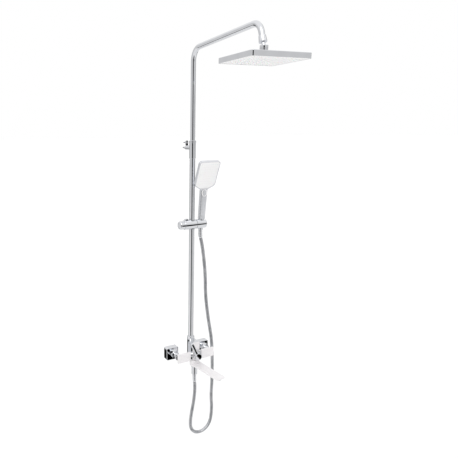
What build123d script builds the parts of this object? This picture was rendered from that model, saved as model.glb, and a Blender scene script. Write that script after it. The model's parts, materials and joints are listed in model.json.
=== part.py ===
"""Rainfall shower column: wall mixer, telescopic riser, square rain head and hand shower.

Row frame, in millimetres: the origin is on the finished wall, midway between the two
water inlets. +X is to the right of a person facing the wall, +Y goes into the wall and
+Z is up, so the whole column stands at negative Y.
"""
from build123d import *
from math import cos, pi, radians, sin
import os

os.makedirs("parts", exist_ok=True)

# ------------------------------------------------------------- driving dimensions
INLET_X = 75.0            # half of the standard 150 mm between inlets
INLET_THREAD_R = 10.48    # G 1/2 male thread
UNION_THREAD_R = 13.22    # G 3/4 male thread
HOSE_THREAD_R = 10.48     # G 1/2 male thread of both hose ends
RISER_Y = -50.0           # axis of the riser in front of the wall
MIX_Z = 7.0               # the eccentric unions lift the mixer this much
LOWER_R = 11.0            # fixed riser tube
UPPER_R = 9.5             # sliding riser tube
TUBE_WALL = 1.2
RUNNING = 0.08            # radial clearance of a running fit

# mixer
COLUMN_R = 16.0
COLUMN_TOP = 66.0
COLUMN_BOTTOM = -14.0
COLUMN_FRONT = RISER_Y - 45.0
PANEL_T = 4.0
BAR_R = 11.5
BAR_Y = RISER_Y - 31.0
BAR_HALF = 84.0
COVER_IN = 26.0
COVER_OUT = 87.0
COVER_Z = (-13.5, 27.5)
COVER_T = 6.0
SPOUT_Y = RISER_Y - 35.0
SPOUT_TOP = -30.0
SPOUT_T = 8.0
SPOUT_W = 42.0
SPOUT_REACH = 173.0
SPOUT_YAW = 8.0           # the spout stands turned a little to the right
LEVER_LEAN = 25.0         # the mixing lever stands turned a little to warm
LEVER_LENGTH = 72.0

# riser, bracket and arm
LOWER_TOP = 872.0
SLEEVE_Z = (822.0, 880.0)
SLEEVE_R = 12.6
LOCK_RING_R = 13.6
BRACKET_Z = 861.0
UPPER_BOTTOM = 640.0
ARM_Z0 = 1212.0           # where the riser's axis meets the arm's
ARM_Z1 = 1237.0           # where the arm's axis meets the drop's
ARM_REACH = 391.0
BALL = Vector(0, RISER_Y - 416.0, 1163.0)
ARM_BEND_R = 46.0
DROP_BEND_R = 40.0

# rain head
HEAD_W = 200.0
HEAD_T = 16.0
HEAD_TOP = 1142.0
SOCKET_R = 12.4
HEAD_YAW = -5.0           # the head stands turned a little on its ball

# slider and hand shower
SLIDER_Z = 563.7
SLIDER_R = 19.0
CRADLE_X = 42.0
HANDLE_LEAN = 7.0
HANDLE_W = 27.0
HANDLE_D = 17.0
FACE_C = Vector(CRADLE_X, -97.3, 763.5)
FACE_TILT = 23.0
FACE_W = 91.0
FACE_L = 106.0
FACE_T = 12.0
FACE_CORNER_R = 11.0

# hose
HOSE_R = 7.0
HOSE_ROUTE = [
    (53.0, -44.0, 474.0),
    (62.0, -46.0, 412.0),
    (68.5, -49.0, 338.0),
    (68.5, -52.0, 264.0),
    (75.5, -56.0, 188.0),
    (86.0, -60.0, 116.0),
    (97.5, -64.0, 46.0),
    (101.5, -65.0, -25.0),
    (104.0, -65.0, -98.0),
    (103.5, -65.0, -168.0),
    (100.0, -65.5, -230.0),
    (104.5, -66.0, -280.0),
    (103.5, -66.5, -322.0),
    (97.0, -67.5, -359.5),
    (76.4, -69.0, -388.0),
    (43.0, -71.0, -399.0),
    (9.6, -73.5, -388.0),
    (-11.0, -76.0, -359.5),
    (-13.5, -78.0, -320.0),
    (-9.0, -80.0, -279.0),
    (-2.5, -82.0, -237.0),
    (2.5, -83.5, -195.0),
    (4.5, -84.5, -152.0),
    (0.0, SPOUT_Y, -114.0),
]

NODES = {}


def add(name, shape):
    """Keep a finished node under its name."""
    solids = list(shape.solids())
    NODES[name] = solids[0] if len(solids) == 1 else Compound(children=solids)


def rod(start, direction, radius, length):
    """Cylinder that starts at a point and runs along a direction."""
    place = Plane(origin=start, z_dir=direction)
    return place * Cylinder(radius, length, align=(Align.CENTER, Align.CENTER, Align.MIN))


def taper(start, direction, radius_0, radius_1, length):
    """Cone frustum that starts at a point and runs along a direction."""
    place = Plane(origin=start, z_dir=direction)
    return place * Cone(radius_0, radius_1, length, align=(Align.CENTER, Align.CENTER, Align.MIN))


def block(x, y, z):
    """Box between two values on each axis."""
    size = (x[1] - x[0], y[1] - y[0], z[1] - z[0])
    centre = ((x[0] + x[1]) / 2, (y[0] + y[1]) / 2, (z[0] + z[1]) / 2)
    return Pos(*centre) * Box(*size)


def rounded_block(x, y, z, radius, along):
    """Box whose four edges along one axis are rounded."""
    shape = block(x, y, z)
    return fillet(shape.edges().filter_by(along), radius)


def hexagon(start, direction, across_flats, length, turn=0.0):
    """Hexagonal prism with its corners turned down, as on a nut."""
    place = Plane(origin=start, z_dir=direction) * Rot(0, 0, turn)
    corner_r = across_flats / 2 / cos(pi / 6)
    prism = place * extrude(RegularPolygon(corner_r, 6), length)
    turned = rod(start, direction, corner_r * 0.965, length)
    return prism & turned


UP = (0, 0, 1)
DOWN = (0, 0, -1)
OUT = (0, -1, 0)
IN = (0, 1, 0)
RIGHT = (1, 0, 0)
LEFT = (-1, 0, 0)


# ---------------------------------------------------------------- wall connections
def s_union(x):
    """Eccentric union: wall thread at inlet height, mixer thread MIX_Z higher."""
    wall_thread = rod((x, 14, 0), OUT, INLET_THREAD_R, 18)
    neck = loft([
        Plane(origin=(x, -4, 0), z_dir=OUT) * Circle(12.0),
        Plane(origin=(x, -20, MIX_Z), z_dir=OUT) * Circle(UNION_THREAD_R),
    ])
    mixer_thread = rod((x, -20, MIX_Z), OUT, UNION_THREAD_R, 20)
    bore = rod((x, 15, 0), OUT, 7.0, 27) + rod((x, -11, MIX_Z), OUT, 8.5, 30)
    return wall_thread + neck + mixer_thread - bore


def escutcheon(x):
    """Square cup that hides the hole in the wall around a union."""
    half, depth, wall = 28.0, 26.0, 2.0
    shell = rounded_block((x - half, x + half), (-depth, 0), (-half, half), 6.0, Axis.Y)
    shell = fillet(shell.faces().sort_by(Axis.Y)[0].edges(), 2.0)
    inner = half - wall
    inside = rounded_block((x - inner, x + inner), (wall - depth, 1), (-inner, inner), 4.0, Axis.Y)
    return shell - inside - rod((x, 1, MIX_Z), OUT, 14.2, depth + 2)


def union_nut(x):
    """Captive nut that pulls the mixer's tail against the union."""
    nut = hexagon((x, -34, MIX_Z), OUT, 30.0, 18, turn=30)
    thread = rod((x, -33.9, MIX_Z), OUT, UNION_THREAD_R + RUNNING, 11.3)
    return nut - thread - rod((x, -33, MIX_Z), OUT, 11.5, 20)


def inlet_washer(x):
    """Flat seal between the union and the mixer's tail."""
    return rod((x, -40, MIX_Z), OUT, 12.6, 2) - rod((x, -39, MIX_Z), OUT, 8.5, 4)


for side, x in (("left", -INLET_X), ("right", INLET_X)):
    add(f"s_union_{side}", s_union(x))
    add(f"escutcheon_{side}", escutcheon(x))
    add(f"union_nut_{side}", union_nut(x))
add("inlet_washers", Compound(children=[inlet_washer(-INLET_X), inlet_washer(INLET_X)]))

# ---------------------------------------------------------------------- mixer body
HUB_BACK = COLUMN_FRONT - 10.0
HUB_FRONT = HUB_BACK - 15.0
DIVERTER = (10.5, 29.5)
COVER_PEGS = (-10.0, 10.0)
COVER_MID = (COVER_IN + COVER_OUT) / 2
COVER_BACK = COLUMN_FRONT - PANEL_T + COVER_T
STEM_R = 12.2
STEM_BOTTOM = -42.7


def mixer_body():
    """Casting: upright column, cross bar, inlet tails and the stem the spout turns on."""
    plan = Pos(0, RISER_Y) * Circle(COLUMN_R)
    plan += Pos(0, (RISER_Y + COLUMN_FRONT) / 2) * Rectangle(2 * COLUMN_R, RISER_Y - COLUMN_FRONT)
    height = COLUMN_TOP - COLUMN_BOTTOM
    body = Pos(0, 0, COLUMN_BOTTOM) * extrude(plan, height)
    body += rod((-BAR_HALF, BAR_Y, MIX_Z), RIGHT, BAR_R, 2 * BAR_HALF)
    for x in (-INLET_X, INLET_X):
        body += rod((x, BAR_Y, MIX_Z), IN, 11.2, -45 - BAR_Y)
        body += rod((x, -45, MIX_Z), IN, 12.9, 3)
        body -= rod((x, -41, MIX_Z), OUT, 8.0, -41 - BAR_Y)
        body -= rod((x, BAR_Y, MIX_Z), (-x, 0, 0), 6.5, INLET_X - 10)
    body += rod((0, SPOUT_Y, COLUMN_BOTTOM), DOWN, STEM_R, COLUMN_BOTTOM - STEM_BOTTOM)
    body -= rod((0, SPOUT_Y, STEM_BOTTOM - 1), UP, 7.5, -STEM_BOTTOM + 4)
    body -= rod((0, COLUMN_FRONT - 1, MIX_Z), IN, 11.3, 34)
    body -= rod((0, COLUMN_FRONT - 1, MIX_Z), IN, 13.2, 9)
    body -= rod((0, RISER_Y, COLUMN_TOP + 1), DOWN, LOWER_R + RUNNING, 27)
    body -= rod((0, RISER_Y, COLUMN_TOP + 1), DOWN, 9.0, 62)
    body -= rod((0, RISER_Y, MIX_Z), OUT, 6.0, 20)
    body -= rod((DIVERTER[0], COLUMN_FRONT - 1, DIVERTER[1]), IN, 2.4, 16)
    for sign in (-1, 1):
        for z in COVER_PEGS:
            body -= rod((sign * COVER_MID + z, BAR_Y - BAR_R - 1, MIX_Z), IN, 2.6, 10)
    return body


def front_panel():
    """White plate on the column's front, with holes for the lever's seat and diverter."""
    depth = (COLUMN_FRONT - PANEL_T, COLUMN_FRONT)
    height = (COLUMN_BOTTOM + 0.5, COLUMN_TOP)
    panel = rounded_block((-15.5, 15.5), depth, height, 2.0, Axis.Y)
    panel -= rod((0, COLUMN_FRONT + 1, MIX_Z), OUT, 13.5, 10)
    return panel - rod((DIVERTER[0], COLUMN_FRONT + 1, DIVERTER[1]), OUT, 2.4, 10)


def cover(sign):
    """White wing that hides half of the cross bar, held by two pegs."""
    x = sorted((sign * COVER_IN, sign * COVER_OUT))
    front = COLUMN_FRONT - PANEL_T
    plate = rounded_block(x, (front, COVER_BACK), COVER_Z, 2.5, Axis.Y)
    plate = fillet(plate.faces().sort_by(Axis.Y)[0].edges(), 1.0)
    for z in COVER_PEGS:
        plate += rod((sign * COVER_MID + z, front + 2, MIX_Z), IN, 2.5, 14)
    return plate


def cartridge():
    """Ceramic cartridge inside the column, with a neck for its rotor."""
    back = COLUMN_FRONT + 32.6
    shape = rod((0, back, MIX_Z), OUT, 11.0, 23.6)
    return shape - rod((0, COLUMN_FRONT + 14, MIX_Z), OUT, 7.5, 10)


def cartridge_nut():
    """Ring that clamps the cartridge and carries the lever's seat."""
    ring = rod((0, COLUMN_FRONT + 7.8, MIX_Z), OUT, 13.0, 9.8)
    ring += rod((0, COLUMN_FRONT, MIX_Z), OUT, 11.3, 3.5)
    return ring - rod((0, COLUMN_FRONT + 9, MIX_Z), OUT, 7.4, 16)


def riser_nut():
    """Collar nut that holds the riser in the column."""
    nut = rod((0, RISER_Y, COLUMN_TOP), UP, 15.6, 13)
    nut = chamfer(nut.edges().sort_by(Axis.Z)[-1], 1.5)
    return nut - rod((0, RISER_Y, COLUMN_TOP - 1), UP, LOWER_R + 0.02, 16)


def riser_washer():
    """Flat seal under the riser's lower end."""
    washer = rod((0, RISER_Y, COLUMN_TOP - 26), UP, LOWER_R, 2)
    return washer - rod((0, RISER_Y, 0), UP, 9.5, 60)


add("mixer_body", mixer_body())
add("front_panel", front_panel())
add("cover_left", cover(-1))
add("cover_right", cover(1))
add("cartridge", cartridge())
add("cartridge_nut", cartridge_nut())
add("riser_nut", riser_nut())
add("riser_washer", riser_washer())


# ------------------------------------------------------------ mixing lever, diverter
def cartridge_rotor():
    """Disc that turns with the lever to set the temperature."""
    return rod((0, COLUMN_FRONT + 12, MIX_Z), OUT, 6.8, 11) - rod((0, COLUMN_FRONT + 6, MIX_Z), OUT, 4.0, 8)


def mixing_lever():
    """Cup that caps the cartridge, with a slim bar that leans towards warm."""
    depth = HUB_BACK - HUB_FRONT
    cup = rod((0, HUB_BACK, MIX_Z), OUT, 17.0, depth)
    cup = fillet(cup.edges().sort_by(Axis.Y)[0], 3.0)
    cup -= rod((0, HUB_BACK + 1, MIX_Z), OUT, 15.3, 9.5)
    mid = HUB_FRONT + 4.4
    bar = block((-6.0, 6.0), (mid - 3.4, mid + 3.4), (8.0, LEVER_LENGTH))
    bar = fillet(bar.edges().filter_by(Axis.Z), 2.6)
    bar = fillet(bar.faces().sort_by(Axis.Z)[-1].edges(), 1.6)
    place = Pos(0, 0, MIX_Z) * Rot(0, -LEVER_LEAN, 0)
    lever = cup + place * bar
    lever -= rod((0, HUB_BACK - 4, MIX_Z), OUT, 3.5, 7.6)
    return lever - rod((0, HUB_FRONT + 4.4, MIX_Z), DOWN, 1.6, 20)


def cartridge_stem():
    """Pin that carries the lever; it tips to open the water."""
    return rod((0, HUB_BACK + 8, MIX_Z), OUT, 3.4, 18.5)


def lever_screw():
    """Grub screw that fixes the lever on the pin, under its cap."""
    return rod((0, HUB_FRONT + 4.4, MIX_Z - 3.6), DOWN, 1.5, 9)


def diverter_knob():
    """Small round knob that sends the water to the spout, head or hand shower."""
    x, z = DIVERTER
    knob = rod((x, COLUMN_FRONT - PANEL_T - 0.4, z), OUT, 5.0, 6.2)
    knob = chamfer(knob.edges().sort_by(Axis.Y)[0], 0.6)
    return knob - rod((x, COLUMN_FRONT - PANEL_T - 5.4, z), OUT, 3.4, 3)


def diverter_cap():
    """White button face in the knob."""
    x, z = DIVERTER
    return rod((x, COLUMN_FRONT - PANEL_T - 5.4, z), OUT, 3.3, 1.5)


def diverter_spindle():
    """Spindle of the diverter."""
    x, z = DIVERTER
    return rod((x, COLUMN_FRONT + 13, z), OUT, 2.3, 13 + PANEL_T + 0.4)


add("cartridge_rotor", cartridge_rotor())
add("mixing_lever", mixing_lever())
add("cartridge_stem", cartridge_stem())
add("lever_screw", lever_screw())
add("diverter_knob", diverter_knob())
add("diverter_cap", diverter_cap())
add("diverter_spindle", diverter_spindle())

# --------------------------------------------------------------- spout and outlet
AERATOR_AT = SPOUT_REACH - 13.0
AERATOR_R = 10.0
SPOUT_ROOT_Z = (STEM_BOTTOM + 0.6, COLUMN_BOTTOM - 0.7)
spout_place = Pos(0, SPOUT_Y, 0) * Rot(0, 0, SPOUT_YAW)


def spout():
    """Flat blade spout that swivels on the stem under the column."""
    low, high = SPOUT_ROOT_Z
    root = rod((0, 0, low), UP, SPOUT_W / 2 - 0.5, high - low)
    root = fillet(root.edges().filter_by(GeomType.CIRCLE), 1.5)
    blade = block((-SPOUT_W / 2, SPOUT_W / 2), (-SPOUT_REACH, 0), (SPOUT_TOP - SPOUT_T, SPOUT_TOP))
    blade = fillet(blade.faces().sort_by(Axis.Y)[0].edges().filter_by(Axis.Z), 5.0)
    blade = fillet(blade.faces().sort_by(Axis.Z)[-1].edges(), 1.2)
    blade = fillet(blade.faces().sort_by(Axis.Z)[0].edges(), 1.2)
    shape = root + blade
    shape -= rod((0, 0, low - 1), UP, STEM_R + RUNNING, high - low + 2)
    shape -= block((-13, 13), (-AERATOR_AT, -10), (SPOUT_TOP - 6, SPOUT_TOP - 2))
    shape -= rod((0, -AERATOR_AT, SPOUT_TOP - SPOUT_T - 1), UP, AERATOR_R - 1.0, 5)
    return spout_place * shape


def aerator():
    """Aerator under the spout's tip."""
    base = SPOUT_TOP - SPOUT_T
    shape = rod((0, -AERATOR_AT, base), DOWN, AERATOR_R, 5)
    shape = chamfer(shape.edges().sort_by(Axis.Z)[0], 1.0)
    shape += rod((0, -AERATOR_AT, base - 1), UP, AERATOR_R - 1.05, 4.5)
    return spout_place * (shape - rod((0, -AERATOR_AT, base - 6), UP, 7.5, 3))


def spout_ring():
    """Plastic slide ring between the spout and the outlet nipple."""
    ring = rod((0, SPOUT_Y, STEM_BOTTOM + 0.5), DOWN, 15.0, 0.9)
    return ring - rod((0, SPOUT_Y, STEM_BOTTOM + 1), DOWN, STEM_R + 0.15, 3)


def outlet_nipple():
    """Threaded nipple below the stem: it holds the spout up and feeds the hose."""
    top = STEM_BOTTOM - 0.5
    shape = hexagon((0, SPOUT_Y, top), DOWN, 27.0, 6.5)
    shape += rod((0, SPOUT_Y, top - 6), DOWN, HOSE_THREAD_R, 12)
    shape += rod((0, SPOUT_Y, top - 1), UP, 7.4, 12)
    return shape - rod((0, SPOUT_Y, top + 12), DOWN, 5.0, 34)


add("spout", spout())
add("aerator", aerator())
add("spout_ring", spout_ring())
add("outlet_nipple", outlet_nipple())


# ------------------------------------------------------------------ riser, bracket
def riser_lower():
    """Fixed lower tube."""
    tube = rod((0, RISER_Y, COLUMN_TOP - 24), UP, LOWER_R, LOWER_TOP - COLUMN_TOP + 24)
    return tube - rod((0, RISER_Y, COLUMN_TOP - 25), UP, LOWER_R - TUBE_WALL, LOWER_TOP)


def bracket_sleeve():
    """Sleeve on top of the lower tube that the wall bracket carries."""
    low, high = SLEEVE_Z
    sleeve = rod((0, RISER_Y, low), UP, SLEEVE_R, high - low)
    sleeve = chamfer(sleeve.edges().sort_by(Axis.Z)[0], 0.8)
    sleeve -= rod((0, RISER_Y, low - 1), UP, LOWER_R + 0.02, LOWER_TOP - low + 1)
    return sleeve - rod((0, RISER_Y, low), UP, UPPER_R + RUNNING, high)


def lock_ring():
    """Knurled ring that tightens on the sliding tube."""
    ring = rod((0, RISER_Y, SLEEVE_Z[1]), UP, LOCK_RING_R, 9)
    ring = fillet(ring.edges().filter_by(GeomType.CIRCLE), 1.2)
    ring -= rod((0, RISER_Y, SLEEVE_Z[1] - 1), UP, UPPER_R + 0.15, 12)
    for k in range(24):
        turn = 2 * pi * k / 24
        x, y = (LOCK_RING_R + 0.2) * cos(turn), (LOCK_RING_R + 0.2) * sin(turn)
        ring -= rod((x, RISER_Y + y, SLEEVE_Z[1] + 1.5), UP, 0.6, 6)
    return ring


def bracket_arm():
    """Round stand-off from the sleeve to the wall."""
    arm = rod((0, 0, BRACKET_Z), OUT, 9.0, -RISER_Y - 5)
    arm = fillet(arm.edges().sort_by(Axis.Y)[-1], 2.0)
    arm -= rod((0, RISER_Y, BRACKET_Z - 20), UP, SLEEVE_R + 0.02, 40)
    arm -= rod((0, 1, BRACKET_Z), OUT, 3.4, 2)
    return arm - rod((0, 1, BRACKET_Z), OUT, 2.6, 22)


def bracket_tab():
    """Upright tab on the wall that takes the fixing screw."""
    tab = rounded_block((-4.8, 4.8), (-6.5, 0), (BRACKET_Z + 9.1, BRACKET_Z + 27), 2.0, Axis.Y)
    return tab - rod((0, 1, BRACKET_Z + 19.5), OUT, 2.6, 9)


def tab_screw():
    """Wall screw of the tab, with its plug end in the wall."""
    z = BRACKET_Z + 19.5
    head = rod((0, -6.5, z), OUT, 4.2, 2.2)
    head = chamfer(head.edges().sort_by(Axis.Y)[0], 0.9)
    return head + rod((0, -6.6, z), IN, 2.4, 26)


def hanger_bolt():
    """Double-ended bolt that holds the stand-off on the wall."""
    return rod((0, 24, BRACKET_Z), OUT, 3.0, 24) + rod((0, 0.5, BRACKET_Z), OUT, 2.5, 19)


add("riser_lower", riser_lower())
add("bracket_sleeve", bracket_sleeve())
add("lock_ring", lock_ring())
add("bracket_arm", bracket_arm())
add("bracket_tab", bracket_tab())
add("tab_screw", tab_screw())
add("hanger_bolt", hanger_bolt())

# --------------------------------------------------------------- sliding tube, arm
riser_corner = Vector(0, RISER_Y, ARM_Z0)
arm_corner = Vector(0, RISER_Y - ARM_REACH, ARM_Z1)
drop = (BALL - arm_corner).normalized()
tube_end = BALL - drop * 27.0


def upper_tube():
    """Sliding tube, bent forward into the arm and down to the head."""
    corners = [Vector(0, RISER_Y, UPPER_BOTTOM), riser_corner, arm_corner, tube_end]
    path = FilletPolyline(*corners, radius=[ARM_BEND_R, DROP_BEND_R])
    start = Plane(origin=(0, RISER_Y, UPPER_BOTTOM), z_dir=UP)
    outer = sweep(start * Circle(UPPER_R), path)
    inner = sweep(start * Circle(UPPER_R - TUBE_WALL), path)
    return outer - inner


def arm_nut():
    """Conical nut at the end of the arm."""
    nut = taper(BALL - drop * 35.0, drop, 10.9, 12.6, 16.0)
    nut += rod(BALL - drop * 19.0, drop, 12.6, 2.0)
    nut -= rod(BALL - drop * 36.0, drop, UPPER_R + 0.05, 9.2)
    return nut - rod(BALL - drop * 30.0, drop, 5.6, 20)


def ball_stud():
    """Hollow ball that the head hangs from."""
    stud = Pos(*BALL) * Sphere(9.0)
    stud += rod(BALL - drop * 16.8, drop, 5.5, 16)
    stud += rod(BALL - drop * 26.6, drop, 5.5, 9.8)
    return stud - rod(BALL - drop * 30, drop, 3.2, 44)


def guide_bush():
    """Plastic bush on the sliding tube's lower end: it runs inside the fixed tube."""
    bush = rod((0, RISER_Y, UPPER_BOTTOM + 4), UP, LOWER_R - TUBE_WALL - RUNNING, 14)
    return bush - rod((0, RISER_Y, UPPER_BOTTOM), UP, UPPER_R + 0.02, 30)


add("upper_tube", upper_tube())
add("arm_nut", arm_nut())
add("ball_stud", ball_stud())
add("guide_bush", guide_bush())

# ------------------------------------------------------------------------ rain head
head_place = Pos(0, BALL.Y, 0) * Rot(0, 0, HEAD_YAW)


def ball_seat():
    """Thin slippery shell between the ball and its socket."""
    shell = Sphere(10.2) - Sphere(9.06)
    zone = block((-20, 20), (-20, 20), (-7.5, 2.0))
    return Pos(*BALL) * (shell & zone)


def head_socket():
    """Knurled socket nut that traps the ball on the head."""
    z0 = BALL.Z - 11.2
    socket = rod((0, BALL.Y, z0), UP, SOCKET_R, 18.2)
    socket = fillet(socket.edges().sort_by(Axis.Z)[-1], 2.0)
    socket -= Pos(*BALL) * Sphere(10.28)
    socket -= rod((0, BALL.Y, z0 - 1), UP, 10.28, 12.2)
    socket -= taper((0, BALL.Y, BALL.Z + 3.0), UP, 9.0, 13.0, 6.0)
    for k in range(28):
        turn = 2 * pi * k / 28
        x, y = (SOCKET_R + 0.2) * cos(turn), (SOCKET_R + 0.2) * sin(turn)
        socket -= rod((x, BALL.Y + y, z0 + 2), UP, 0.55, 9)
    return socket


def head_boss():
    """Boss welded on the head: it closes the socket from below."""
    boss = rod((0, BALL.Y, HEAD_TOP), UP, 17.0, BALL.Z - 11.4 - HEAD_TOP)
    boss = fillet(boss.edges().sort_by(Axis.Z)[-1], 2.0)
    return boss - rod((0, BALL.Y, HEAD_TOP - 1), UP, 6.0, 30) - Pos(*BALL) * Sphere(11.6)


def head_shell():
    """Square chrome tray: top and sides of the rain head."""
    half = HEAD_W / 2
    low = HEAD_TOP - HEAD_T
    shell = rounded_block((-half, half), (-half, half), (low, HEAD_TOP), 9.0, Axis.Z)
    shell = fillet(shell.faces().sort_by(Axis.Z)[-1].edges(), 1.6)
    wall = 1.6
    inner = half - wall
    shell -= rounded_block((-inner, inner), (-inner, inner), (low - 1, HEAD_TOP - wall), 7.4, Axis.Z)
    return head_place * (shell - rod((0, 0, low), UP, 6.0, 30))


PLATE_T = 4.0
NOZZLE_PITCH = 15.0
NOZZLES_PER_SIDE = 11
nozzle_offsets = [NOZZLE_PITCH * (k - (NOZZLES_PER_SIDE - 1) / 2) for k in range(NOZZLES_PER_SIDE)]


def spray_plate():
    """White plate that closes the head, drilled for its nozzles."""
    half = HEAD_W / 2 - 1.8
    low = HEAD_TOP - HEAD_T + 0.6
    plate = rounded_block((-half, half), (-half, half), (low, low + PLATE_T), 7.2, Axis.Z)
    return head_place * plate


def head_nozzles():
    """Grid of soft nozzles below the plate."""
    low = HEAD_TOP - HEAD_T + 0.6
    tips = [taper((x, y, low), DOWN, 1.7, 1.2, 1.6) for x in nozzle_offsets for y in nozzle_offsets]
    return head_place * Compound(children=tips)


def head_gasket():
    """Seal between tray and plate."""
    half = HEAD_W / 2 - 3.0
    z0 = HEAD_TOP - HEAD_T + 0.6 + PLATE_T
    ring = rounded_block((-half, half), (-half, half), (z0, z0 + 1.5), 6.0, Axis.Z)
    inner = half - 4.0
    ring -= rounded_block((-inner, inner), (-inner, inner), (z0 - 1, z0 + 3), 4.0, Axis.Z)
    return head_place * ring


add("ball_seat", ball_seat())
add("head_socket", head_socket())
add("head_boss", head_boss())
add("head_shell", head_shell())
add("spray_plate", spray_plate())
add("head_nozzles", head_nozzles())
add("head_gasket", head_gasket())

# ---------------------------------------------------------------- slider and cradle
SLIDER_LEFT = -37.0
SLIDER_RIGHT = 17.0
CRADLE = (17.5, 61.0)
cradle_c = Vector(CRADLE_X, RISER_Y, SLIDER_Z)
handle_dir = Vector(0, -sin(radians(HANDLE_LEAN)), cos(radians(HANDLE_LEAN)))


def slider_body():
    """Round cross piece that slides on the lower tube."""
    body = rod((SLIDER_LEFT, RISER_Y, SLIDER_Z), RIGHT, SLIDER_R, SLIDER_RIGHT - SLIDER_LEFT)
    body = fillet(body.edges().filter_by(GeomType.CIRCLE), 1.2)
    body -= rod((0, RISER_Y, SLIDER_Z - 30), UP, LOWER_R + 1.0, 60)
    body -= block((-33.0, -17.0), (RISER_Y - 6, RISER_Y + 6), (SLIDER_Z + 9, SLIDER_Z + 30))
    return body


def slider_bush():
    """Plastic liner that runs on the tube."""
    bush = rod((0, RISER_Y, SLIDER_Z - 18.0), UP, LOWER_R + 0.96, 36)
    return bush - rod((0, RISER_Y, SLIDER_Z - 30), UP, LOWER_R + RUNNING, 60)


def slider_end_cap():
    """Domed cap on the left end of the slider."""
    cap = rod((SLIDER_LEFT - 0.2, RISER_Y, SLIDER_Z), LEFT, 17.0, 21.0)
    cap = fillet(cap.edges().sort_by(Axis.X)[0], 7.0)
    return cap


def release_button():
    """Button on top of the slider: pressed, it frees the slider to move."""
    depth = (RISER_Y - 5.7, RISER_Y + 5.7)
    button = rounded_block((-32.7, -17.3), depth, (SLIDER_Z + 13, SLIDER_Z + 24), 3.0, Axis.Z)
    return fillet(button.faces().sort_by(Axis.Z)[-1].edges(), 1.5)


def cradle():
    """Turning holder on the right end, with a cone for the hand shower's nut."""
    body = rod((CRADLE[0], RISER_Y, SLIDER_Z), RIGHT, SLIDER_R, CRADLE[1] - CRADLE[0])
    body = fillet(body.edges().sort_by(Axis.X)[-1], 2.5)
    cone = taper(cradle_c - handle_dir * 21, handle_dir, 10.6, 12.9, 42)
    slot_low = cradle_c - handle_dir * 21
    slot = Plane(origin=slot_low, x_dir=(1, 0, 0), z_dir=handle_dir) * Pos(15, 0, 21) * Box(30, 15.6, 44)
    return body - cone - slot


add("slider_body", slider_body())
add("slider_bush", slider_bush())
add("slider_end_cap", slider_end_cap())
add("release_button", release_button())
add("cradle", cradle())


# ---------------------------------------------------------------------- hand shower
NUT_LOW = -24.0
NUT_TOP = 20.0
HANDLE_TOP = 138.0
BUTTON_AT = 128.0
RING_W = 12.0
RING_L = 13.9
FACE_RIM = 3.0
normal = Vector(0, -cos(radians(FACE_TILT)), -sin(radians(FACE_TILT)))
face_up = Vector(0, -sin(radians(FACE_TILT)), cos(radians(FACE_TILT)))
handle_front = Vector(0, -cos(radians(HANDLE_LEAN)), -sin(radians(HANDLE_LEAN)))
face_plane = Plane(origin=FACE_C, x_dir=(1, 0, 0), z_dir=normal)
button_c = cradle_c + handle_dir * BUTTON_AT + handle_front * (HANDLE_D / 2)
button_plane = Plane(origin=button_c, x_dir=(1, 0, 0), z_dir=handle_front)


def handle_section(at, width, depth, radius):
    """Rounded section of the handle at a distance above the cradle's centre."""
    place = Plane(origin=cradle_c + handle_dir * at, x_dir=(1, 0, 0), z_dir=handle_dir)
    return place * RectangleRounded(width, depth, radius)


def face_outline(inset=0.0):
    """Outline of the face: a rounded rectangle with shoulders that narrow to the handle."""
    half = FACE_W / 2 - inset
    end = FACE_L / 2 - inset
    neck = 17.0 - inset / 2
    top = [(half, end), (-half, end)]
    shoulders = [(-half, 3 - end), (-neck, -end - 13), (neck, -end - 13), (half, 3 - end)]
    outline = make_face(Polyline(*top, *shoulders, close=True))
    corners = outline.vertices().sort_by(Axis.Y)
    return fillet(corners[2:], FACE_CORNER_R - inset)


def handset_shell():
    """Handle and back of the hand shower, one hollow moulding."""
    plate = extrude(face_plane * face_outline(), -FACE_T)
    grip = loft([
        handle_section(NUT_TOP + 0.5, HANDLE_W, HANDLE_D, 5.0),
        handle_section(HANDLE_TOP, HANDLE_W + 3, HANDLE_D, 5.0),
    ])
    neck_top = FACE_C - face_up * (FACE_L / 2 - 6) - normal * (FACE_T / 2)
    neck_place = Plane(origin=neck_top, x_dir=(1, 0, 0), z_dir=face_up)
    neck = loft([
        handle_section(HANDLE_TOP, HANDLE_W + 3, HANDLE_D, 5.0),
        neck_place * RectangleRounded(46, FACE_T - 1.0, 4.0),
    ])
    shape = plate + grip + neck
    shape += rod(cradle_c + handle_dir * (NUT_TOP + 1), -handle_dir, 10.0, 1)
    shape += rod(cradle_c + handle_dir * (NUT_TOP + 0.5), -handle_dir, 9.2, 13)
    shape -= extrude(face_plane * face_outline(FACE_RIM), -(FACE_T - 3))
    shape -= rod(cradle_c, handle_dir, 5.0, HANDLE_TOP - 24)
    shape -= extrude(face_plane * face_outline(FACE_RIM), 20)
    shape -= extrude(button_plane * Pos(0, 0, -4.0) * Ellipse(RING_W + 0.1, RING_L + 0.1), 10)
    return shape


def face_plate():
    """White spray face, let into the shell inside its rim."""
    plate = extrude(face_plane * Pos(0, 0, -0.5) * face_outline(FACE_RIM + 0.1), -4.5)
    return plate


def face_nozzles():
    """Soft nozzles of the hand shower."""
    tips = []
    for i in range(8):
        for j in range(9):
            x, y = 9.5 * (i - 3.5), 10.0 * (j - 4)
            if x * x + y * y > 90:
                tips.append(taper(face_plane.from_local_coords((x, y, -0.5)), normal, 1.3, 0.9, 1.0))
    return Compound(children=tips)


def button_ring():
    """White ring around the mode button."""
    ring = extrude(button_plane * Pos(0, 0, -3.9) * Ellipse(RING_W, RING_L), 4.3)
    return ring - extrude(button_plane * Pos(0, 0, -5) * Ellipse(7.6, 12.0), 8)


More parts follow.
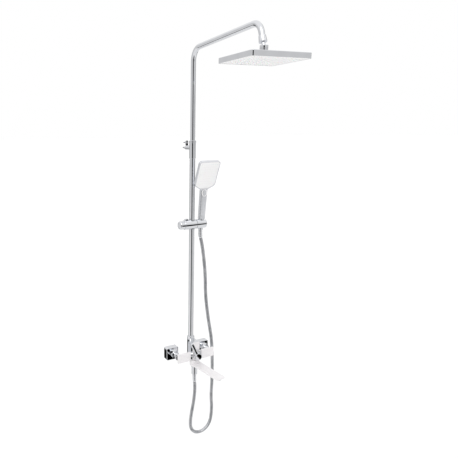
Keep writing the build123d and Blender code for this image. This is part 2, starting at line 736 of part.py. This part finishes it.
def mode_button():
    """Oval button that changes the spray."""
    button = extrude(button_plane * Pos(0, 0, -2.0) * Ellipse(7.3, 11.7), 4.4)
    return fillet(button.faces().sort_by(Axis.Y)[0].edges(), 1.0)


def hose_nut_upper():
    """Conical nut of the hose: it also seats the hand shower in the cradle."""
    slope = (12.9 - 10.6) / 42
    low_r = 10.6 - 0.3 + slope * (NUT_LOW + 21)
    top_r = 10.6 - 0.3 + slope * (NUT_TOP + 21)
    nut = taper(cradle_c + handle_dir * NUT_LOW, handle_dir, low_r, top_r, NUT_TOP - NUT_LOW)
    nut -= rod(cradle_c + handle_dir * (NUT_TOP - 13.5), handle_dir, 9.3, 15)
    return nut - rod(cradle_c + handle_dir * (NUT_LOW + 8), handle_dir, 5.0, 40)


def handset_washer():
    """Washer at the bottom of the nut."""
    ring = rod(cradle_c + handle_dir * (NUT_TOP - 13.4), handle_dir, 9.0, 0.8)
    return ring - rod(cradle_c, handle_dir, 5.2, 30)


add("handset_shell", handset_shell())
add("face_plate", face_plate())
add("face_nozzles", face_nozzles())
add("button_ring", button_ring())
add("mode_button", mode_button())
add("hose_nut_upper", hose_nut_upper())
add("handset_washer", handset_washer())

# ----------------------------------------------------------------------------- hose
HOSE_NUT_BOTTOM = -86.0


def hose_nut_lower():
    """Round nut that screws on the outlet nipple."""
    top = STEM_BOTTOM - 7.3
    nut = rod((0, SPOUT_Y, top), DOWN, 12.3, top - HOSE_NUT_BOTTOM)
    nut = chamfer(nut.edges().filter_by(GeomType.CIRCLE), 1.2)
    nut -= rod((0, SPOUT_Y, top + 1), DOWN, HOSE_THREAD_R + 0.05, 13.5)
    return nut - rod((0, SPOUT_Y, top), DOWN, 5.0, 28)


def hose_washer():
    """Washer between the nipple and the hose."""
    z = STEM_BOTTOM - 18.6
    return rod((0, SPOUT_Y, z), DOWN, 9.8, 1.1) - rod((0, SPOUT_Y, z + 1), DOWN, 5.2, 4)


def hose():
    """Flexible hose as a tube: straight runs joined by arcs as large as the runs allow."""
    start = cradle_c + handle_dir * NUT_LOW
    straight = cradle_c + handle_dir * (NUT_LOW - 25)
    end = Vector(0, SPOUT_Y, HOSE_NUT_BOTTOM)
    points = [start, straight] + [Vector(*p) for p in HOSE_ROUTE] + [end]
    radii = []
    for before, here, after in zip(points, points[1:], points[2:]):
        half_turn = radians((here - before).get_angle(after - here)) / 2
        shorter = min((here - before).length, (after - here).length)
        radii.append(0.45 * shorter / sin(half_turn) * cos(half_turn))
    path = FilletPolyline(*points, radius=radii)
    runs = [(b - a).length for a, b in zip(points, points[1:])]
    tube = sweep(Plane(origin=start, z_dir=points[1] - start) * Circle(HOSE_R), path)
    print("hose runs", [round(r) for r in runs])
    print("hose radii", [round(r) for r in radii])
    full = pi * HOSE_R**2 * path.length
    print("hose length", round(path.length), "volume ratio", round(tube.volume / full, 4))
    return tube


add("hose_nut_lower", hose_nut_lower())
add("hose_washer", hose_washer())
add("hose", hose())

for name, solids in NODES.items():
    export_step(solids, f"parts/{name}.step")
print(len(NODES), "nodes")
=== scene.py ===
"""Looks of the rainfall shower column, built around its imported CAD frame. Metres, +Z up.

The origin is on the finished wall, midway between the inlets; the column stands at -Y.
"""
import json
from math import cos, pi, radians, sin

import bmesh
import bpy
from mathutils import Matrix, Vector


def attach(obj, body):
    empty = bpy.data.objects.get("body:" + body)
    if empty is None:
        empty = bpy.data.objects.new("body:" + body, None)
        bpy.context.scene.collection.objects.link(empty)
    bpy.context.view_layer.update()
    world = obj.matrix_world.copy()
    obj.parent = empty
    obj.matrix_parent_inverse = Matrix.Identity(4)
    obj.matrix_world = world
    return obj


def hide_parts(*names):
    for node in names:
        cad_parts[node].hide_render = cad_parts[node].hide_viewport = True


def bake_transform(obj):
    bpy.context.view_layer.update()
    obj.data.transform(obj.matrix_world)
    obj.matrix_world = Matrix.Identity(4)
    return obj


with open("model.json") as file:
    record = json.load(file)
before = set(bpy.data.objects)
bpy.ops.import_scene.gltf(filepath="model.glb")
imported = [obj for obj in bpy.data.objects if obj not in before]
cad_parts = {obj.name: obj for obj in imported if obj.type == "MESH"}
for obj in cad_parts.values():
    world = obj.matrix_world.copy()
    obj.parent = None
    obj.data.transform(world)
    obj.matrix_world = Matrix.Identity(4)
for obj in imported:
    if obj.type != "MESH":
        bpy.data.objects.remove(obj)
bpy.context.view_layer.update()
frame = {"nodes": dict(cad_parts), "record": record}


# ---------------------------------------------------------------------------- camera
def make_camera():
    """A camera left of the column, above its middle, looking down at it."""
    place = Vector((-0.96974, -1.74267, 0.94501))
    yaw, pitch, roll = 0.4621, -0.2882, -0.0065
    forward = Vector((sin(yaw) * cos(pitch), cos(yaw) * cos(pitch), sin(pitch)))
    level = Vector((cos(yaw), -sin(yaw), 0))
    above = level.cross(forward)
    right = level * cos(roll) + above * sin(roll)
    up = above * cos(roll) - level * sin(roll)
    data = bpy.data.cameras.new("camera")
    data.sensor_width = 36
    data.lens = 38.66
    data.shift_x = 0.1422
    data.shift_y = 0.0924
    data.clip_end = 100
    camera = bpy.data.objects.new("camera", data)
    axes = Matrix((right, up, -forward)).transposed()
    camera.matrix_world = Matrix.Translation(place) @ axes.to_4x4()
    bpy.context.scene.collection.objects.link(camera)
    bpy.context.scene.camera = camera


# ------------------------------------------------------------------------------ hose
HOSE_R = 0.007
HOSE_PITCH = 0.0024
HOSE_SIDES = 24
FERRULE_R = 0.00815
FERRULE_SIDES = 32
FERRULE_STEPS = 60         # steps of the hose's line that a ferrule covers
FERRULE_GROOVE = 0.0004
FERRULE_CLOSING = 0.0009
CLOSING_SHARE = 0.12       # the last part of a ferrule, which closes on the hose
OUTLET = (0.0, -0.085, -0.086)
HANDSET_NUT = (0.042, -0.047075, 0.539879)
HOSE_ROUTE = [
    OUTLET,
    (0.0, -0.085, -0.114),
    (0.0045, -0.0845, -0.152),
    (0.0025, -0.0835, -0.195),
    (-0.0025, -0.082, -0.237),
    (-0.009, -0.080, -0.279),
    (-0.0135, -0.078, -0.320),
    (-0.011, -0.076, -0.3595),
    (0.0096, -0.0735, -0.388),
    (0.043, -0.071, -0.399),
    (0.0764, -0.069, -0.388),
    (0.097, -0.0675, -0.3595),
    (0.1035, -0.0665, -0.322),
    (0.1045, -0.066, -0.280),
    (0.100, -0.0655, -0.230),
    (0.1035, -0.065, -0.168),
    (0.104, -0.065, -0.098),
    (0.1015, -0.065, -0.025),
    (0.0975, -0.064, 0.046),
    (0.086, -0.060, 0.116),
    (0.0755, -0.056, 0.188),
    (0.0685, -0.052, 0.264),
    (0.0685, -0.049, 0.338),
    (0.062, -0.046, 0.412),
    (0.053, -0.044, 0.474),
    (0.042, -0.044029, 0.515065),
    HANDSET_NUT,
]


def smooth_line(route):
    """Points along the NURBS spline whose control points are the route."""
    curve = bpy.data.curves.new("route", "CURVE")
    curve.dimensions = "3D"
    curve.resolution_u = 24
    spline = curve.splines.new("NURBS")
    spline.points.add(len(route) - 1)
    for point, place in zip(spline.points, route):
        point.co = (*place, 1)
    spline.order_u = 3
    spline.use_endpoint_u = True
    holder = bpy.data.objects.new("route", curve)
    line = bpy.data.meshes.new_from_object(holder)
    points = [v.co.copy() for v in line.vertices]
    bpy.data.objects.remove(holder)
    bpy.data.curves.remove(curve)
    bpy.data.meshes.remove(line)
    return points


def even_line(points, step):
    """The same line, as points a fixed distance apart."""
    found, left = [points[0].copy()], step
    for a, b in zip(points, points[1:]):
        run = (b - a).length
        if run < 1e-9:
            continue
        at = left
        while at <= run:
            found.append(a.lerp(b, at / run))
            at += step
        left = at - run
    found.append(points[-1].copy())
    return found


def sweep(name, line, radii, segments):
    """A closed tube along a line, with a radius at each of its points."""
    mesh = bmesh.new()
    side = Vector((1, 0, 0))
    rings = []
    for i, place in enumerate(line):
        ahead = (line[min(i + 1, len(line) - 1)] - line[max(i - 1, 0)]).normalized()
        side = (side - ahead * side.dot(ahead)).normalized()
        other = ahead.cross(side)
        ring = []
        for k in range(segments):
            turn = 2 * pi * k / segments
            ring.append(mesh.verts.new(place + (side * cos(turn) + other * sin(turn)) * radii[i]))
        rings.append(ring)
    for low, high in zip(rings, rings[1:]):
        for k in range(segments):
            j = (k + 1) % segments
            mesh.faces.new((low[k], low[j], high[j], high[k]))
    mesh.faces.new(rings[0][::-1])
    mesh.faces.new(rings[-1])
    return finished(name, mesh)


def finished(name, mesh):
    """Turn a bmesh into a smooth-shaded object in the scene."""
    bmesh.ops.recalc_face_normals(mesh, faces=mesh.faces)
    data = bpy.data.meshes.new(name)
    mesh.to_mesh(data)
    mesh.free()
    for face in data.polygons:
        face.use_smooth = True
    piece = bpy.data.objects.new(name, data)
    bpy.context.scene.collection.objects.link(piece)
    return piece


RING_PROFILE = (0.93, 0.985, 0.998, 0.985)   # share of the radius, groove first


def make_hose():
    """Metal hose of interlocked rings, with a crimped ferrule at each end."""
    points = smooth_line(HOSE_ROUTE)
    line = even_line(points, HOSE_PITCH / len(RING_PROFILE))
    radii = [HOSE_R * RING_PROFILE[i % len(RING_PROFILE)] for i in range(len(line))]
    hose = sweep("shower_hose", line, radii, HOSE_SIDES)
    lower = make_ferrule("hose_ferrule_lower", line[:FERRULE_STEPS])
    upper = make_ferrule("hose_ferrule_upper", line[::-1][:FERRULE_STEPS])
    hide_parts("hose")
    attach(lower, "column")
    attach(upper, "hose_nut")
    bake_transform(hose)
    return hose, [lower, upper]


def make_ferrule(name, line):
    """Sleeve crimped on a hose end, with three pressed grooves."""
    radii = []
    for i in range(len(line)):
        share = i / (len(line) - 1)
        groove = max(0.0, sin(share * 6 * pi)) ** 4
        closing = max(0.0, share - (1 - CLOSING_SHARE)) / CLOSING_SHARE
        radii.append(FERRULE_R - FERRULE_GROOVE * groove - FERRULE_CLOSING * closing)
    return sweep(name, line, radii, FERRULE_SIDES)


# ------------------------------------------------------------------------- materials
class Paint:
    """A material under construction: its node tree and its main shader."""

    def __init__(self, name, color, metallic, roughness):
        self.material = bpy.data.materials.new(name)
        self.material.use_nodes = True
        self.nodes = self.material.node_tree.nodes
        self.links = self.material.node_tree.links
        self.shader = self.nodes["Principled BSDF"]
        self.shader.inputs["Base Color"].default_value = (*color, 1)
        self.shader.inputs["Metallic"].default_value = metallic
        self.shader.inputs["Roughness"].default_value = roughness
        self.place = self.nodes.new("ShaderNodeTexCoord").outputs["Object"]

    def noise(self, scale, detail=3.0, stretch=(1, 1, 1)):
        """Noise in the object's own space, scale in features per metre."""
        mapping = self.nodes.new("ShaderNodeMapping")
        mapping.inputs["Scale"].default_value = stretch
        self.links.new(self.place, mapping.inputs["Vector"])
        texture = self.nodes.new("ShaderNodeTexNoise")
        texture.inputs["Scale"].default_value = scale
        texture.inputs["Detail"].default_value = detail
        self.links.new(mapping.outputs["Vector"], texture.inputs["Vector"])
        return texture.outputs["Fac"]

    def between(self, value, low, high, start=0.3, end=0.7):
        """Map a value onto a range."""
        node = self.nodes.new("ShaderNodeMapRange")
        node.inputs["From Min"].default_value = start
        node.inputs["From Max"].default_value = end
        node.inputs["To Min"].default_value = low
        node.inputs["To Max"].default_value = high
        self.links.new(value, node.inputs["Value"])
        return node.outputs["Result"]

    def vary_color(self, value, dark, light, start=0.3, end=0.7):
        """Blend the base colour between two colours."""
        ramp = self.nodes.new("ShaderNodeValToRGB")
        ramp.color_ramp.elements[0].position = start
        ramp.color_ramp.elements[1].position = end
        ramp.color_ramp.elements[0].color = (*dark, 1)
        ramp.color_ramp.elements[1].color = (*light, 1)
        self.links.new(value, ramp.inputs["Fac"])
        self.links.new(ramp.outputs["Color"], self.shader.inputs["Base Color"])

    def vary_roughness(self, value, low, high, start=0.3, end=0.7):
        """Blend the roughness between two values."""
        self.links.new(self.between(value, low, high, start, end), self.shader.inputs["Roughness"])

    def bump(self, value, height):
        """Raise the surface by up to a height in metres."""
        node = self.nodes.new("ShaderNodeBump")
        node.inputs["Strength"].default_value = 1.0
        node.inputs["Distance"].default_value = height
        self.links.new(value, node.inputs["Height"])
        self.links.new(node.outputs["Normal"], self.shader.inputs["Normal"])


def chrome():
    """Polished chrome with faint water marks and hairline wear."""
    paint = Paint("polished_chrome", (0.74, 0.75, 0.78), 1.0, 0.07)
    paint.vary_color(paint.noise(30), (0.735, 0.745, 0.77), (0.775, 0.785, 0.81))
    paint.vary_roughness(paint.noise(160, 6.0), 0.015, 0.05, 0.45, 0.75)
    paint.bump(paint.noise(500, 2.0), 0.0000006)
    return paint.material


def white_lacquer():
    """Gloss white lacquer over metal, with the faint orange peel of a sprayed coat."""
    paint = Paint("white_lacquer", (0.87, 0.85, 0.86), 0.0, 0.28)
    paint.shader.inputs["Coat Weight"].default_value = 0.6
    paint.shader.inputs["Coat Roughness"].default_value = 0.06
    paint.vary_color(paint.noise(14), (0.84, 0.82, 0.83), (0.89, 0.87, 0.88))
    paint.vary_roughness(paint.noise(240, 5.0), 0.22, 0.38)
    paint.bump(paint.noise(620, 2.0), 0.00002)
    return paint.material


def white_plastic():
    """Moulded white plastic with a slightly soft surface."""
    paint = Paint("white_plastic", (0.88, 0.87, 0.87), 0.0, 0.34)
    paint.vary_color(paint.noise(18), (0.89, 0.885, 0.885), (0.93, 0.925, 0.925))
    paint.vary_roughness(paint.noise(420, 5.0), 0.28, 0.44)
    paint.bump(paint.noise(1600, 2.0), 0.00001)
    return paint.material


def silver_plastic():
    """Chromed plastic, a little softer than plated brass."""
    paint = Paint("silver_plastic", (0.72, 0.73, 0.76), 1.0, 0.14)
    paint.vary_color(paint.noise(26), (0.71, 0.72, 0.75), (0.76, 0.77, 0.80))
    paint.vary_roughness(paint.noise(200, 6.0), 0.06, 0.11, 0.4, 0.75)
    paint.bump(paint.noise(400, 2.0), 0.0000008)
    return paint.material


def brass():
    """Cast brass that has dulled a little."""
    paint = Paint("cast_brass", (0.62, 0.43, 0.19), 1.0, 0.32)
    paint.vary_color(paint.noise(90, 5.0), (0.42, 0.28, 0.12), (0.72, 0.52, 0.25))
    paint.vary_roughness(paint.noise(260, 5.0), 0.22, 0.5)
    paint.bump(paint.noise(1100, 4.0), 0.00003)
    return paint.material


def steel():
    """Turned stainless steel with fine tool marks."""
    paint = Paint("turned_steel", (0.52, 0.53, 0.55), 1.0, 0.3)
    paint.shader.inputs["Anisotropic"].default_value = 0.5
    paint.vary_color(paint.noise(140, 4.0), (0.46, 0.47, 0.49), (0.60, 0.61, 0.63))
    paint.vary_roughness(paint.noise(700, 3.0, (1, 12, 1)), 0.2, 0.42)
    paint.bump(paint.noise(1400, 2.0, (1, 14, 1)), 0.00001)
    return paint.material


def rubber():
    """Dark rubber with a fine matt grain."""
    paint = Paint("seal_rubber", (0.03, 0.03, 0.032), 0.0, 0.62)
    paint.vary_color(paint.noise(160, 5.0), (0.018, 0.018, 0.02), (0.05, 0.05, 0.052))
    paint.vary_roughness(paint.noise(600, 4.0), 0.5, 0.75)
    paint.bump(paint.noise(2200, 3.0), 0.00004)
    return paint.material


def grey_plastic():
    """Grey engineering plastic with a mould grain."""
    paint = Paint("grey_plastic", (0.24, 0.245, 0.25), 0.0, 0.42)
    paint.vary_color(paint.noise(70, 4.0), (0.20, 0.205, 0.21), (0.29, 0.295, 0.30))
    paint.vary_roughness(paint.noise(500, 4.0), 0.34, 0.55)
    paint.bump(paint.noise(1900, 3.0), 0.00002)
    return paint.material


def silicone():
    """Soft pale silicone of the nozzles, milky at its thin tips."""
    paint = Paint("nozzle_silicone", (0.62, 0.64, 0.66), 0.0, 0.45)
    paint.shader.inputs["Subsurface Weight"].default_value = 0.25
    paint.shader.inputs["Subsurface Scale"].default_value = 0.001
    paint.vary_color(paint.noise(60, 3.0), (0.73, 0.74, 0.75), (0.80, 0.81, 0.82))
    paint.vary_roughness(paint.noise(900, 3.0), 0.38, 0.55)
    paint.bump(paint.noise(2600, 2.0), 0.00001)
    return paint.material


def hose_sleeve():
    """Bright metal of the hose's rings, dulled by handling."""
    paint = Paint("hose_metal", (0.5, 0.51, 0.53), 1.0, 0.2)
    paint.vary_color(paint.noise(45, 4.0), (0.40, 0.41, 0.43), (0.58, 0.59, 0.61))
    paint.vary_roughness(paint.noise(380, 5.0), 0.14, 0.32)
    paint.bump(paint.noise(1500, 2.0), 0.000008)
    return paint.material


MATERIALS = {
    "chrome": chrome(),
    "white_lacquer": white_lacquer(),
    "white_plastic": white_plastic(),
    "silver_plastic": silver_plastic(),
    "brass": brass(),
    "steel": steel(),
    "rubber": rubber(),
    "grey_plastic": grey_plastic(),
    "silicone": silicone(),
    "hose_sleeve": hose_sleeve(),
}


def dress(piece, slot):
    """Give a piece the material of one of the record's slots."""
    piece.data.materials.clear()
    piece.data.materials.append(MATERIALS[slot])


def dress_frame():
    """Every CAD node gets the finished material of its slot."""
    for part in frame["record"]["subparts"]:
        dress(frame["nodes"][part["node"]], part["material_slot"])


# ----------------------------------------------------------------------------- stage
FLOOR_Z = -0.62
FLOOR_HALF = 60
HORIZON_GREY = 0.70
BELOW_GREY = 0.92          # of the surroundings straight below
GREY_BAND = (-0.5, 0.0, 0.16, 0.6)   # heights between which the horizon's grey comes and goes


def make_floor():
    """Plain pale floor well below the column, which hangs on a wall."""
    mesh = bmesh.new()
    bmesh.ops.create_grid(mesh, x_segments=8, y_segments=8, size=FLOOR_HALF)
    floor = finished("floor", mesh)
    floor.location = (0, 0, FLOOR_Z)
    floor.visible_glossy = False
    paint = Paint("pale_floor", (0.97, 0.97, 0.97), 0.0, 1.0)
    paint.shader.inputs["Specular IOR Level"].default_value = 0
    floor.data.materials.append(paint.material)


def make_sun(name, toward, strength, softness):
    """Very soft light from far away, so that the floor is lit evenly."""
    data = bpy.data.lights.new(name, "SUN")
    data.energy = strength
    data.angle = radians(softness)
    light = bpy.data.objects.new(name, data)
    light.rotation_euler = Vector(toward).to_track_quat("-Z", "Y").to_euler()
    bpy.context.scene.collection.objects.link(light)


# Dark cards round the column that polished metal mirrors: the middle and half width of each in
# degrees from -Y towards +X, its lower and upper edge as a share of straight up, and its grey.
DARK_CARDS = {
    "in_front": (26.5, 5.8, -0.56, 0.06, 0.0),
    "camera_side": (-31, 19, -0.70, 0.40, 0.0),
    "behind_arm": (-162.5, 9.5, -0.36, -0.03, 0.0),
    "behind_left_low": (-151, 9, -0.50, -0.37, 0.02),
    "right_edge": (112, 12, -0.60, 0.60, 0.25),
}
CARD_EDGE = 0.6      # degrees over which a card's side edge fades
CARD_RIM = 0.02      # the same for its upper and lower edges


class Sky:
    """The studio's surroundings: a bright room with dark cards in it."""

    def __init__(self):
        world = bpy.data.worlds.new("studio")
        bpy.context.scene.world = world
        world.use_nodes = True
        self.nodes, self.links = world.node_tree.nodes, world.node_tree.links
        split = self.nodes.new("ShaderNodeSeparateXYZ")
        direction = self.nodes.new("ShaderNodeTexCoord").outputs["Generated"]
        self.links.new(direction, split.inputs["Vector"])
        self.height = split.outputs["Z"]
        away = self.math("MULTIPLY", split.outputs["Y"], -1.0)
        self.azimuth = self.math("MULTIPLY", self.math("ARCTAN2", split.outputs["X"], away), 180 / pi)

    def math(self, operation, a, b):
        """A math node of two values, each a number or an output."""
        node = self.nodes.new("ShaderNodeMath")
        node.operation = operation
        for socket, value in zip(node.inputs, (a, b)):
            if isinstance(value, (int, float)):
                socket.default_value = value
            else:
                self.links.new(value, socket)
        return node.outputs["Value"]

    def smooth(self, value, start, end, low, high):
        """A smooth step from low at start to high at end."""
        node = self.nodes.new("ShaderNodeMapRange")
        node.interpolation_type = "SMOOTHSTEP"
        for name, number in (("From Min", start), ("From Max", end), ("To Min", low), ("To Max", high)):
            node.inputs[name].default_value = number
        self.links.new(value, node.inputs["Value"])
        return node.outputs["Result"]

    def card(self, middle, half, low, high, grey):
        """1 away from a card, falling to its grey on it."""
        aside = self.math("ABSOLUTE", self.math("SUBTRACT", self.azimuth, float(middle)), 0.0)
        across = self.smooth(aside, half - CARD_EDGE, half + CARD_EDGE, 1.0, 0.0)
        above = self.smooth(self.height, low - CARD_RIM, low + CARD_RIM, 0.0, 1.0)
        below = self.smooth(self.height, high - CARD_RIM, high + CARD_RIM, 1.0, 0.0)
        inside = self.math("MULTIPLY", across, self.math("MULTIPLY", above, below))
        return self.math("SUBTRACT", 1.0, self.math("MULTIPLY", inside, 1.0 - grey))


def make_world():
    """White behind the column, and a bright room with dark cards for all that is mirrored."""
    sky = Sky()
    above = sky.smooth(sky.height, *GREY_BAND[2:], HORIZON_GREY, 1.0)
    below = sky.smooth(sky.height, *GREY_BAND[:2], BELOW_GREY, HORIZON_GREY)
    light = sky.math("DIVIDE", sky.math("MULTIPLY", above, below), HORIZON_GREY)
    for card in DARK_CARDS.values():
        light = sky.math("MULTIPLY", light, sky.card(*card))
    seen = sky.nodes.new("ShaderNodeLightPath").outputs["Is Camera Ray"]
    mix = sky.nodes.new("ShaderNodeMix")
    sky.links.new(seen, mix.inputs["Factor"])
    sky.links.new(light, mix.inputs["A"])
    mix.inputs["B"].default_value = 1.0
    sky.links.new(mix.outputs["Result"], sky.nodes["Background"].inputs["Color"])


def make_stage():
    """Floor, soft lights and world."""
    make_floor()
    make_sun("key", (0.55, 0.75, -0.85), 0.78, 40)
    make_world()
    bpy.context.scene.view_settings.view_transform = "Standard"


make_camera()
hose, ferrules = make_hose()
dress_frame()
dress(hose, "hose_sleeve")
for ferrule in ferrules:
    dress(ferrule, "chrome")
make_stage()
